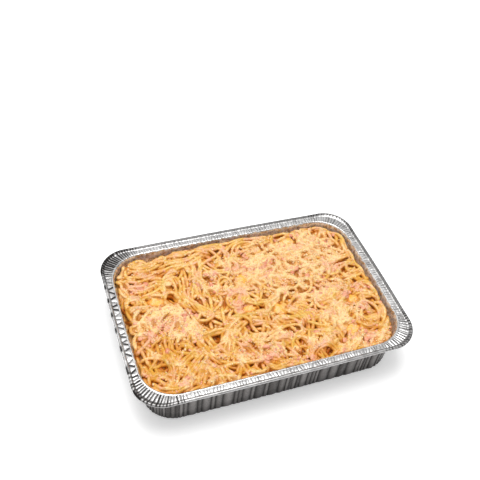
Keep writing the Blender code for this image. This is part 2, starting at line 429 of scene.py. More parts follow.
    # smooth ridge along the mouth, with the slits' shade painted across it
    for inward, rise, share in ((0.8, 0.06, 0.0), (1.4, 0.18, 0.1), (2.0, 0.20, 0.3), (2.5, 0.06, 0.6)):
        addRing(tray["rimWidth"] - inward * millimetre, tray["mouthCorner"] + inward * millimetre,
                flange + rise * millimetre, 0.0,
                np.clip(atMouth * share * (0.4 + 0.6 * (corner > 0.1)) + lipSlitShade * (share < 0.2), 0, 1))
    # flange, pressed in slits, with painted shade in the slits
    shares = (0.15, 0.22, 0.33, 0.45, 0.56, 0.67, 0.78, 0.88, 0.97)
    lipInset = tray["rimWidth"] - tray["lip"]
    flangeRings = []
    for share in shares:
        inset = lipInset + (beadInset - lipInset) * share
        radius = tray["mouthCorner"] + tray["lip"] + (tray["rimCorner"] - 0.5 * beadInset
                                                      - tray["mouthCorner"] - tray["lip"]) * share
        fold, darkness = crimp(share)
        fade = min(1.0, (share - 0.10) / 0.10, (1.02 - share) / 0.12)
        level = flange + 0.25 * millimetre * math.sin(share * math.pi) + fold * fade
        flangeRings.append((inset, radius, level))
        addRing(inset, radius, level, 0.0, np.clip(darkness * min(1.0, fade + 0.4) + flangeShadeAndDull, 0, 1))
    # rolled edge, scalloped underneath, with painted shade on its underside
    scallop = np.abs(np.cos(run / tray["scallopPitch"] * math.pi)) ** 2
    beadMiddle = rimTop - tray["bead"]
    # painted shade of the slits carried onto the rolled edge, most in the corners
    beadSlitShade = crimp(0.9)[1] * np.where(corner > 0.1, 0.75, 0.15)
    # painted shade in lens shapes under the rolled edge at the left
    lens = np.sin(2 * math.pi * run / tray["lensPitch"] + 1.3 * np.sin(run / 0.031))
    lens = np.clip(1.8 * lens - 0.5, 0, 1) * np.clip(1 - np.abs(bearing - 190) / 40, 0, 1) ** 0.3
    for turn in (140, 112, 85, 58, 32, 6, -20, -46, -72, -100, -130):
        out = tray["bead"] * math.cos(math.radians(turn))
        up = tray["bead"] * math.sin(math.radians(turn))
        under = max(0.0, -math.sin(math.radians(turn)))
        pull = -0.55 * millimetre * scallop * under
        radius = max(tray["rimCorner"] - tray["bead"] + out, 1 * millimetre)
        duller = 0.9 if turn > 130 else 1.0
        addRing(tray["bead"] - out, radius, beadMiddle + up, pull,
                np.clip(scallop * under * 0.7 + beadShadeAndDull * duller + beadSlitShade * (turn > 20)
                        + lens * (0 < turn < 90), 0, 1))
    # underside of the flange and outside of the wall, with painted shade under the flange, in the creases,
    # under the rim and at the foot
    for inset, radius, z in (flangeRings[7], flangeRings[3], flangeRings[0]):
        addRing(inset, radius, z - sheet, 0.0, 0.5, 1.0)
    for z in (wallTop - 0.6 * millimetre, 0.053, 0.048, 0.041, 0.033, 0.025, 0.017, 0.010, 0.0062,
              tray["foot"]):
        wobble = 0.10 * millimetre * np.sin(run / 0.0021 + z * 900) * np.sin(run / 0.0093)
        underRimShade = max(0.0, (z - 0.049) / (wallTop - 0.049))    # painted shade under the rim, in arches over the panels
        # painted shade, darker towards the foot
        foot = 0.85 * np.clip(1 - z / 0.018, 0, 1)
        shadow = np.clip(1.15 * (1 - bulge) ** 1.2 + underRimShade * (1 - bulge ** 2) + 0.35 * underRimShade + foot, 0, 1)
        addWallRing(wallInset(z), z, pleat + wobble, shadow, 1.0)
    # scalloped foot with painted shade, and the base with its raised middle
    addWallRing(footInset + 1.2 * millimetre, 1.3 * millimetre, pleat * 0.8, 0.85, 1.0)
    addWallRing(footInset + tray["foot"], 0.0, pleat * 0.35, 0.6, 1.0)
    outer = footInset + tray["foot"] + tray["panelInset"]
    addWallRing(outer - 1.5 * millimetre, 0.0, 0.0, 0.0, 1.0)
    addWallRing(outer, tray["panelRise"], 0.0, 0.0, 1.0)

    # where the food's edge lies against the pleats, on the flat
    against = wallInset(0.046) + sheet + 0.25 * millimetre
    foodEdge = outlineRing(sides, against, wallRadius(against), 0.0, pleat)

    around, rows = len(run), len(rings)
    points = np.stack(rings)
    shade = np.stack([np.stack(dark), np.stack(outside), np.stack(tone)], axis=-1)
    bm = bmesh.new()
    layer = bm.verts.layers.float_color.new("shade")
    bmesh.ops.create_grid(bm, x_segments=around, y_segments=rows - 1, size=0.5)
    for vert in bm.verts:
        column = round((vert.co.x + 0.5) * around) % around
        row = round((vert.co.y + 0.5) * (rows - 1))
        vert.co = points[row, column]
        vert[layer] = (*shade[row, column], 1.0)
    bmesh.ops.remove_doubles(bm, verts=bm.verts, dist=1e-6)
    bmesh.ops.holes_fill(bm, edges=[edge for edge in bm.edges if edge.is_boundary], sides=0)
    bmesh.ops.recalc_face_normals(bm, faces=bm.faces)
    return bm, foodEdge


def rolledAluminiumFoil():
    # bright rolled foil, pressed in a die: a metal with fine creases, rougher where it is crimped, with
    # painted shade in the creases and on the outer walls
    material, tree, shader = newMaterial("rolledAluminiumFoil")
    shade = addNode(tree, "ShaderNodeSeparateColor", None, {
        "Color": addNode(tree, "ShaderNodeAttribute", {"attribute_name": "shade"}).outputs["Color"]})
    place = addNode(tree, "ShaderNodeTexCoord").outputs["Object"]
    mottle = addNode(tree, "ShaderNodeTexNoise", None,
                     {"Vector": place, "Scale": 120.0, "Detail": 3.0}).outputs["Fac"]
    bright = laidOver(tree, "#DEDCDB", "#F2F1F0", mottle, 0.35, 0.65)
    # painted reflection: the outer walls are dark grey for the dim surroundings they mirror, each panel in
    # its own random tone and darkest at its creases
    outerWallShade = mixed(tree, "#3E3A38", "#8A8684", shade.outputs["Blue"])
    outer = laidOver(tree, bright, outerWallShade, shade.outputs["Green"], 0.6, 1.0)
    # painted shade: slits, creases, the underside of the rim and the foot darkened towards near black
    slitShade = mixed(tree, outer, "#2E2B2A", shade.outputs["Red"])
    # the inside is filmed with grease and starch in patches of 5 mm, so it shines less
    wall = addNode(tree, "ShaderNodeMath", {"operation": "COMPARE"},
                   {0: shade.outputs["Green"], 1: 0.5, 2: 0.25}).outputs["Value"]
    patch = addNode(tree, "ShaderNodeTexNoise", None,
                    {"Vector": place, "Scale": 190.0, "Detail": 4.0, "Roughness": 0.65}).outputs["Fac"]
    # cleaner at the left end
    along = addNode(tree, "ShaderNodeSeparateXYZ", None, {"Vector": place}).outputs["X"]
    along = addNode(tree, "ShaderNodeMapRange", {"interpolation_type": "SMOOTHSTEP"}, {
        "Value": along, "From Min": -0.155, "From Max": -0.12,
        "To Min": 0.25, "To Max": 1.0}).outputs["Result"]
    wall = addNode(tree, "ShaderNodeMath", {"operation": "MULTIPLY"}, {0: wall, 1: along}).outputs["Value"]
    film = laidOver(tree, slitShade, "#AC8648", patch, 0.44, 0.62, 0.8)
    tree.links.new(mixed(tree, slitShade, film, wall), shader.inputs["Base Color"])
    metallic = addNode(tree, "ShaderNodeMapRange", None, {"Value": wall, "To Min": 1.0, "To Max": 0.45})
    tree.links.new(metallic.outputs["Result"], shader.inputs["Metallic"])
    roughness = addNode(tree, "ShaderNodeMapRange", {"interpolation_type": "SMOOTHSTEP"}, {
        "Value": mottle, "From Min": 0.3, "From Max": 0.7, "To Min": 0.20, "To Max": 0.34})
    duller = addNode(tree, "ShaderNodeMath", {"operation": "MULTIPLY_ADD"},
                     {0: shade.outputs["Red"], 1: 0.25, 2: roughness.outputs["Result"]})
    tree.links.new(duller.outputs["Value"], shader.inputs["Roughness"])
    # creases of a millimetre or two between flat facets
    facets = addNode(tree, "ShaderNodeTexVoronoi", {"feature": "F1"},
                     {"Vector": place, "Scale": 420.0}).outputs["Distance"]
    fine = addNode(tree, "ShaderNodeTexNoise", None,
                   {"Vector": place, "Scale": 900.0, "Detail": 2.0}).outputs["Fac"]
    first = addNode(tree, "ShaderNodeBump", None,
                    {"Height": facets, "Strength": 0.35, "Distance": 0.0004})
    second = addNode(tree, "ShaderNodeBump", None,
                     {"Height": fine, "Strength": 0.25, "Distance": 0.0002,
                      "Normal": first.outputs["Normal"]})
    tree.links.new(second.outputs["Normal"], shader.inputs["Normal"])
    return material


trayBm, wallLine = buildTray(foilTray, traySides(foilTray["spacing"]))
tray = newPiece("fluted_foil_tray", trayBm, rolledAluminiumFoil())
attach(tray, "root")
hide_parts("foil_tray")


# the heap: a height map on which the strands are laid one after another
heap = {
    "cell": 0.5 * millimetre,
    "edgeInset": 14.3 * millimetre,     # outline of the heap inside the rim's edge
    "edgeCorner": 36.2 * millimetre,
    "level": 47.0 * millimetre,         # plan for its top: the crowns stand some 3 mm over it
    "swell": 1.5 * millimetre,
    "humps": 1.5 * millimetre,          # lumpiness of some 20 mm on top of the broad swell
    "droop": 0.8 * millimetre,          # its edge sinks this much at the foil
    "leftDroop": 2.6 * millimetre,      # and this much more at the left end
    "droopWidth": 0.08,
    "ragged": 1.6 * millimetre,         # how unevenly the strands keep off the foil
    "strand": 4.8 * millimetre,         # cooked spaghetti with the sauce that clings to it
    "step": 1.6 * millimetre,           # between the points of a strand
    "wobble": 1.2 * millimetre,         # each strand's own wandering beside its neighbours
    "dip": 3.6 * millimetre,            # how far a strand goes under the others now and then
    "hollowDepth": 2.0 * millimetre,    # the first strands lie this much lower in a hole
    "hollowDip": 2.4 * millimetre,      # and a strand that crosses one sags this much
    "endDip": 3.2 * millimetre,         # a strand's ends sink this far into the heap
    "endRun": 5.5 * millimetre,         # over this length
    "ceiling": 2.6 * millimetre,        # a strand that comes higher over the plan is pressed down
    "bendShare": 0.65,                  # how many of the strands bend round a hole
    "startInset": 18.0 * millimetre,
    "bedDepth": 9.2 * millimetre,       # first strands lie this far below the top
    "edgeBed": 3.6 * millimetre,        # but only this far at the foil
    "looseMetres": 39.0,                # strands laid by chance, in all
    "seed": 21,
}
# holes between the strands: place, half axes and depth share, all in millimetres but the last
hollows = (
    (-91, 28, 4, 8, 1.0), (-81, 13, 3, 4, 0.9), (-70, 8, 3, 5, 0.9), (-128, 17, 3, 3, 0.8),
    (-138, 32, 3, 4, 1.0), (-136, -21, 4, 3, 0.7), (-127, -31, 4, 3, 1.0), (-113, -33, 5, 4, 1.0),
    (-105, -38, 5, 4, 1.0), (-93, -51, 3, 3, 0.9), (-81, -42, 6, 4, 0.9), (-68, -33, 4, 3, 0.8),
    (-55, -34, 8, 3.5, 1.0), (-61, -43, 4, 3.5, 1.0), (-131, -57, 10, 7, 0.75), (-119, -63, 3, 5, 0.8),
    (-112, -67, 3, 2.5, 0.9), (-119, -75, 3, 2.5, 0.8), (-89, -78, 5, 2.5, 0.8), (-71, -66, 4, 4, 0.9),
    (-63, -72, 6, 3, 0.9), (-52, -81, 7, 3, 1.0), (-46, -87, 5, 3, 1.0), (-34, -84, 7, 3, 1.0),
    (-21, -86, 7, 4, 1.0), (-6, -84, 6, 3, 0.9), (7, -84, 6, 3, 0.9), (5, -10, 6, 3, 0.8),
    (13, 0, 6, 2, 0.8), (24, -37, 5, 3, 1.0), (25, -46, 3, 3, 0.9), (13, -60, 8, 3, 0.9),
    (20, -67, 3, 2.5, 1.0), (30, -67, 5, 5, 1.0), (35, -76, 5, 3, 0.9), (47, -51, 5, 4, 0.9),
    (57, -57, 7, 2.5, 0.8), (62, -46, 3, 4, 0.9), (46, -88, 5, 5, 0.9), (57, -89, 5, 4, 1.0),
    (65, -87, 5, 4, 1.0), (58, 0, 4, 2, 0.8), (130, 34, 7, 2.5, 1.0), (127, 20, 4, 3, 0.9),
    (131, -3, 5, 3, 0.9), (121, -17, 3.5, 5, 1.0), (108, -32, 4, 5, 1.0), (104, -50, 3, 6, 1.0),
    (122, -53, 3, 4, 0.9), (122, -75, 8, 3, 0.9), (-27, 37, 2.5, 4, 0.8), (-56, 28, 3, 3, 0.8),
    (-44, 25, 5, 4, 0.7), (-19, 13, 4, 3, 0.9), (-34, 80, 5, 2, 0.8), (-35, 60, 5, 2.5, 0.6),
    (20, 88, 6, 2.5, 0.7), (28, 73, 9, 2, 0.8), (62, 60, 5, 2, 0.5), (95, 64, 6, 2, 0.6),
    (-10, -34, 5, 2.5, 0.7), (-24, -33, 3, 5, 0.7), (-3, -42, 6, 2.5, 0.8), (-26, -64, 5, 2.5, 0.7),
    (97, -22, 3, 5, 0.7), (134, -66, 4, 3, 0.8), (-146, 15, 4, 12, 0.8), (-110, 62, 5, 3, 0.8),
    (-92, 70, 5, 3, 0.8), (-70, 62, 4, 3, 0.8), (-120, 45, 5, 3, 0.7), (6, 98, 6, 2.5, 0.8),
)
# where the heap stands higher: place, half axes and rise in millimetres
rises = ((52, 99, 46, 12, 5.4), (-52, 98, 60, 10, 3.4), (146, 30, 8, 44, 2.4), (-60, -94, 60, 8, 1.2))
# places where sauce smothers the strands: place, half axes in millimetres, how full
sauced = (
    (58, 46, 54, 30, 1.0), (104, 60, 22, 26, 0.9), (14, 48, 26, 14, 0.9), (-108, 0, 20, 15, 0.85),
    (-86, -22, 14, 10, 0.7), (6, -54, 18, 10, 0.85), (-12, -72, 20, 8, 0.8), (92, -46, 14, 12, 0.75),
    (110, 26, 12, 10, 0.7), (-30, 36, 16, 14, 0.6), (84, 0, 30, 14, 0.7), (-132, 2, 12, 16, 0.6),
    (116, -84, 18, 8, 0.6), (50, -74, 16, 6, 0.6), (30, 10, 18, 12, 0.7), (-60, -66, 12, 8, 0.6),
    (100, 80, 24, 12, 0.6),
)
# where much of the ham came to lie: place, half axes in millimetres, share
hamHeaps = (
    (119, 28, 7, 5, 1.0), (-16, 16, 6, 5, 0.9), (131, -13, 6, 5, 0.9), (113, -83, 6, 5, 0.8),
    (36, -93, 6, 4, 0.9), (-14, -80, 9, 5, 1.0), (-128, 57, 8, 6, 0.9), (-131, -21, 7, 5, 1.0),
    (112, -26, 5, 6, 0.8), (2, 51, 9, 5, 0.6), (-65, -67, 7, 5, 0.6), (97, -76, 8, 5, 0.7),
    (-112, -4, 9, 7, 0.6), (-28, -65, 10, 4, 0.7), (-80, 0, 6, 6, 0.5), (52, -82, 6, 4, 0.5),
    (-20, -4, 5, 7, 0.8), (92, 0, 6, 5, 0.5), (-120, 74, 8, 4, 0.6), (124, -44, 5, 4, 0.7),
)

columns = int(2 * halfLength / heap["cell"])
rowsDeep = int(2 * halfWidth / heap["cell"])
gridX = (np.arange(columns) + 0.5) * heap["cell"] - halfLength
gridY = (np.arange(rowsDeep) + 0.5) * heap["cell"] - halfWidth
mapX, mapY = np.meshgrid(gridX, gridY)


def distanceInside(x, y, extra=0.0):
    # how far a place lies inside the heap's rounded outline
    radius = heap["edgeCorner"]
    qx = np.abs(x) - (halfLength - heap["edgeInset"] - radius)
    qy = np.abs(y) - (halfWidth - heap["edgeInset"] - radius)
    outside = np.hypot(np.maximum(qx, 0), np.maximum(qy, 0)) + np.minimum(np.maximum(qx, qy), 0)
    return radius - outside - extra


def heapTop(x, y):
    # the broad shape of the heap's top
    swell = (0.50 * np.sin(x / 0.021 + 0.6) * np.cos(y / 0.017 - 0.4)
             + 0.25 * np.sin((x + y) / 0.034)
             + 0.25 * np.sin((x - 1.7 * y) / 0.026 + 1.1))
    halfX, halfY = halfLength - heap["edgeInset"], halfWidth - heap["edgeInset"]
    share = np.maximum(np.abs(x) / halfX, np.abs(y) / halfY)
    toLeft = np.clip(-x / halfX, 0, 1)
    sunk = heap["droop"] + heap["leftDroop"] * toLeft ** 4
    near = np.clip((share - 1 + heap["droopWidth"]) / heap["droopWidth"], 0, 1)
    return heap["level"] + heap["swell"] * swell - sunk * near ** 2


def shiftedCopies(values, axis, reach):
    # a map moved by each whole number of cells up to the reach, its edge repeated
    padded = np.pad(values, [(reach, reach) if a == axis else (0, 0) for a in (0, 1)], mode="edge")
    for shift in range(2 * reach + 1):
        yield np.take(padded, range(shift, shift + values.shape[axis]), axis=axis)


def blurred(values, sigma):
    # gaussian blur by a short kernel, one axis after the other
    size = int(3 * sigma + 0.5)
    kernel = np.exp(-0.5 * (np.arange(-size, size + 1) / sigma) ** 2)
    kernel /= kernel.sum()
    for axis in (0, 1):
        values = sum(weight * copy for weight, copy in zip(kernel, shiftedCopies(values, axis, size)))
    return values


def lowestNear(values, reach):
    for axis in (0, 1):
        values = np.minimum.reduce(list(shiftedCopies(values, axis, reach)))
    return values


def ovalMap(spots, softness):
    # strongest of several soft ovals at each cell
    found = np.zeros_like(mapX)
    for x, y, reachX, reachY, share in spots:
        away = np.hypot((mapX / millimetre - x) / reachX, (mapY / millimetre - y) / reachY)
        found = np.maximum(found, share * np.clip((1 + softness - away) / softness, 0, 1))
    return found


def cellOf(x, y):
    column = np.clip(((x + halfLength) / heap["cell"]).astype(int), 0, columns - 1)
    row = np.clip(((y + halfWidth) / heap["cell"]).astype(int), 0, rowsDeep - 1)
    return row, column


def cloudMap(size, seed):
    # soft uneven values about 0, with humps of a given size in metres
    random = np.random.default_rng(seed)
    coarse = random.normal(0, 1, (int(2 * halfWidth / size) + 3, int(2 * halfLength / size) + 3))
    atX = np.linspace(0, coarse.shape[1] - 1, columns)
    atY = np.linspace(0, coarse.shape[0] - 1, rowsDeep)
    wide = np.stack([np.interp(atX, np.arange(coarse.shape[1]), line) for line in coarse])
    full = np.stack([np.interp(atY, np.arange(coarse.shape[0]), line) for line in wide.T], axis=1)
    full = blurred(full, size / heap["cell"] * 0.35)
    return full / full.std()


def awayFrom(x, y, middle, half):
    # distance from the middle of an oval, 1 at its edge
    return np.hypot((x - middle.x) / half.x, (y - middle.y) / half.y)


lumps = []       # middle and half axes of each cheese lump
for node in sorted(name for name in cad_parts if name.startswith("cheese_lump")):
    low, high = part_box(node)
    lumps.append((node, (low + high) / 2, (high - low) / 2))

heapTopMap = heapTop(mapX, mapY) + heap["humps"] * np.clip(cloudMap(0.017, 3), -1.6, 1.4)
heapTopMap += ovalMap(rises, 1.2) * millimetre
for node, middle, half in lumps:
    away = awayFrom(mapX, mapY, middle, half)
    low = middle.z + half.z - (3.2 - 2.0 * np.clip(away - 0.9, 0, 1.2)) * millimetre
    heapTopMap = np.where(away < 2.1, np.minimum(heapTopMap, low), heapTopMap)
heapTopMap = blurred(heapTopMap, 3.0)
raggedMap = heap["ragged"] * np.clip(cloudMap(0.011, 8) * 0.6 + 0.1, 0, 1.6)
hollowMap = ovalMap(hollows, 0.45)
toEdge = np.clip(1 - distanceInside(mapX, mapY) / (14 * millimetre), 0, 1)
bed = heap["bedDepth"] + (heap["edgeBed"] - heap["bedDepth"]) * toEdge
surface = heapTopMap - bed - heap["hollowDepth"] * hollowMap       # strands rest on this
strandRadius = heap["strand"] / 2
reachCells = int(strandRadius / heap["cell"]) + 1
spanCells = np.arange(-reachCells, reachCells + 1)
footX, footY = np.meshgrid(spanCells, spanCells)
footDistance = np.hypot(footX, footY) * heap["cell"]
inFoot = footDistance < strandRadius
footX, footY = footX[inFoot], footY[inFoot]
footRise = np.sqrt(strandRadius ** 2 - footDistance[inFoot] ** 2)


def smoothLine(corners, step):
    # even points along a smooth curve through the corners
    corners = np.array(corners, float)
    ends = np.vstack([2 * corners[0] - corners[1], corners, 2 * corners[-1] - corners[-2]])
    points = []
    for p0, p1, p2, p3 in zip(ends, ends[1:], ends[2:], ends[3:]):
        t = np.linspace(0, 1, 24, endpoint=False)[:, None]
        points.append(0.5 * (2 * p1 + (p2 - p0) * t + (2 * p0 - 5 * p1 + 4 * p2 - p3) * t ** 2
                             + (3 * p1 - p0 - 3 * p2 + p3) * t ** 3))
    points = np.vstack(points + [corners[-1:]])
    run = np.concatenate([[0], np.cumsum(np.linalg.norm(np.diff(points, axis=0), axis=1))])
    even = np.linspace(0, run[-1], max(3, int(run[-1] / step)))
    return np.stack([np.interp(even, run, points[:, axis]) for axis in (0, 1)], axis=1)


def softened(values, passes):
    # running mean along a strand, its ends kept
    values = values.copy()
    for _ in range(passes):
        inner = 0.25 * values[:-2] + 0.5 * values[1:-1] + 0.25 * values[2:]
        values[1:-1] = inner
    return values


def pulledIn(points, margin):
    # brings the points that lie outside the heap back to its edge
    points = points.copy()
    nudge = 1e-4
    for _ in range(3):
        inside = distanceInside(points[:, 0], points[:, 1], margin)
        out = inside < 0
        slopeX = distanceInside(points[:, 0] + nudge, points[:, 1], margin) - inside
        slopeY = distanceInside(points[:, 0], points[:, 1] + nudge, margin) - inside
        length = np.maximum(np.hypot(slopeX, slopeY), 1e-9)
        points[out, 0] += (-inside * slopeX / length)[out]
        points[out, 1] += (-inside * slopeY / length)[out]
    return points


def stretches(mask):
    # start and end of each run of true values
    edges = np.flatnonzero(np.diff(np.concatenate([[0], mask.astype(int), [0]])))
    return list(zip(edges[::2], edges[1::2]))


def longestInside(path):
    # longest stretch of a strand that keeps off the foil: where it would cross, it ends
    row, column = cellOf(path[:, 0], path[:, 1])
    margin = strandRadius * 0.6 + 0.4 * raggedMap[row, column]
    found = stretches(distanceInside(path[:, 0], path[:, 1], margin) > 0)
    start, end = max(found, key=lambda ends: ends[1] - ends[0], default=(0, 0))
    return path[start:end]


# what the strands bend round, the deeper holes and the lumps: place and half axes in millimetres
keptClear = [spot[:4] for spot in hollows if spot[4] > 0.75]
keptClear += [(middle.x / millimetre, middle.y / millimetre,
               half.x / millimetre * 0.8, half.y / millimetre * 0.8) for node, middle, half in lumps]


def roundHollows(path, clear, random):
    # bends a path round the holes and lumps that it would cross
    path = path.copy()
    for x, y, reachX, reachY in keptClear:
        if random.uniform() > heap["bendShare"]:        # the others go across further down
            continue
        offX, offY = path[:, 0] / millimetre - x, path[:, 1] / millimetre - y
        away = np.hypot(offX / (reachX + clear), offY / (reachY + clear))
        near = away < 1
        if near.any():
            grow = 1 / np.maximum(away[near], 0.25)
            path[near, 0] = (x + offX[near] * grow) * millimetre
            path[near, 1] = (y + offY[near] * grow) * millimetre
    return path


def gentleWave(count, length, random):
    # values about 0 that change slowly along a strand
    knots = random.normal(0, 1, max(3, int(count * heap["step"] / length) + 2))
    return softened(np.interp(np.linspace(0, len(knots) - 1, count), np.arange(len(knots)), knots), 6)


def alongside(path, offset, random):
    # a neighbour strand: the path moved sideways, coming closer and drawing away
    ahead = np.gradient(path, axis=0)
    ahead /= np.maximum(np.linalg.norm(ahead, axis=1, keepdims=True), 1e-9)
    sideways = np.stack([-ahead[:, 1], ahead[:, 0]], axis=1)
    drift = offset + heap["wobble"] * gentleWave(len(path), 0.016, random)
    return path + sideways * drift[:, None]


def cellsUnder(points):
    # the cells that a strand covers at each of its points
    row, column = cellOf(points[:, 0], points[:, 1])
    return (np.clip(row[:, None] + footY, 0, rowsDeep - 1),
            np.clip(column[:, None] + footX, 0, columns - 1))


strands = []       # every laid strand: points (x, y, z), radius, tone


def layStrand(path, random, sink, dips):
    # rests a strand on what is there, lets it go under here and there, and adds it to the height map
    if len(path) < 8:
        return
    row, column = cellOf(path[:, 0], path[:, 1])
    rest = (surface[cellsUnder(path)] + footRise).max(axis=1)
    raised = np.maximum(rest, np.maximum(np.roll(rest, 1), np.roll(rest, -1)))
    raised[0], raised[-1] = rest[0], rest[-1]
    z = softened(raised, 4) - sink * strandRadius
    top = heapTopMap[row, column] + heap["ceiling"] - strandRadius
    z = np.where(z > top, top + 0.35 * (z - top), z)
    for node, middle, half in lumps:
        away = awayFrom(path[:, 0], path[:, 1], middle, half)
        crown = np.sqrt(np.clip(1 - (away / 1.15) ** 2, 0, 1))
        dome = middle.z + half.z * crown - strandRadius - 0.6 * millimetre
        z = np.where(away < 1.05, np.minimum(z, dome), z)
    count = len(z)
    z -= heap["hollowDip"] * softened(hollowMap[row, column], 2)
    under = np.interp(np.linspace(0, 1, count), np.linspace(0, 1, len(dips)), dips)
    z -= heap["dip"] * np.clip(under, 0, 1)
    fromEnd = np.minimum(np.arange(count), np.arange(count)[::-1]) * heap["step"]
    z -= heap["endDip"] * np.clip(1 - fromEnd / heap["endRun"], 0, 1) ** 1.5
    points = np.column_stack([path, softened(z, 3)])
    strands.append({"points": points, "radius": strandRadius * random.uniform(0.90, 1.06),
                    "tone": random.uniform(0, 1)})
    # three times the points, so that no cell under the strand is left out
    fine = np.repeat(points, 3, axis=0)[:-2].copy()
    fine[1::3] = points[:-1] * 2 / 3 + points[1:] / 3
    fine[2::3] = points[:-1] / 3 + points[1:] * 2 / 3
    np.maximum.at(surface, cellsUnder(fine), fine[:, 2][:, None] + footRise)


def wander(random, length):
    # a path that bends gently, with now and then a tight turn or a loop
    start = np.array([random.uniform(-1, 1) * (halfLength - heap["startInset"]),
                      random.uniform(-1, 1) * (halfWidth - heap["startInset"])])
    heading = random.uniform(0, 2 * math.pi)
    bends = []
    while sum(stretch for stretch, _ in bends) < length:
        kind = random.uniform()
        hand = random.choice((-1, 1))
        if kind < 0.28:
            bends.append((random.uniform(0.015, 0.036), hand / random.uniform(0.030, 0.10)))
        elif kind < 0.82:
            bends.append((random.uniform(0.012, 0.028), hand / random.uniform(0.012, 0.026)))
        else:
            bends.append((random.uniform(0.012, 0.030), hand / random.uniform(0.0070, 0.0105)))
    curve = np.concatenate([np.full(int(stretch / heap["step"]), bend) for stretch, bend in bends])
    curve = softened(curve, 6)
    headings = heading + np.cumsum(curve) * heap["step"]
    moves = np.stack([np.cos(headings), np.sin(headings)], axis=1) * heap["step"]
    path = start + np.cumsum(moves, axis=0)
    return path - (path.mean(axis=0) - start) * 0.6


def sidewaysSmooth(path, passes):
    return np.column_stack([softened(path[:, 0], passes), softened(path[:, 1], passes)])


def layLooseStrands(random, metres, avoidHollows, sizes, sink, dipping):
    # of several tries, the bundle that lies lowest is kept, so that the heap stays even
    laid = 0.0
    while laid < metres:
        tries = []
        for _ in range(9):
            path = wander(random, random.uniform(0.045, 0.13))
            if random.uniform() < 0.6:      # some turn along the foil, the others end there
                row, column = cellOf(path[:, 0], path[:, 1])
                path = pulledIn(path, strandRadius * 0.75 + raggedMap[row, column])
            path = longestInside(sidewaysSmooth(path, 3))
            if len(path) < 14:
                continue
            row, column = cellOf(path[:, 0], path[:, 1])
            over = surface[row, column] - heapTopMap[row, column]
            over += 2.0 * millimetre * hollowMap[row, column]
            tries.append((over.mean() + 0.4 * over.max(), len(tries), path))
        if not tries:
            continue
        path = min(tries)[2]
        size = int(random.choice(sizes))
        shared = gentleWave(len(path), 0.020, random)
        for number in range(size):
            offset = (number - (size - 1) / 2) * heap["strand"] * 0.97
            line = alongside(path, offset, random)
            first, last = random.integers(0, 9), len(line) - random.integers(0, 9)
            line = line[first:last]
            if avoidHollows:
                line = roundHollows(line, 1.0, random)
            line = longestInside(sidewaysSmooth(line, 5))
            if len(line) < 10:
                continue
            waves = 0.8 * shared[:len(line)] + 0.6 * gentleWave(len(line), 0.015, random)
            dips = dipping * softened(waves, 4) - 0.1
            layStrand(line, random, sink, dips)
            laid += len(line) * heap["step"]


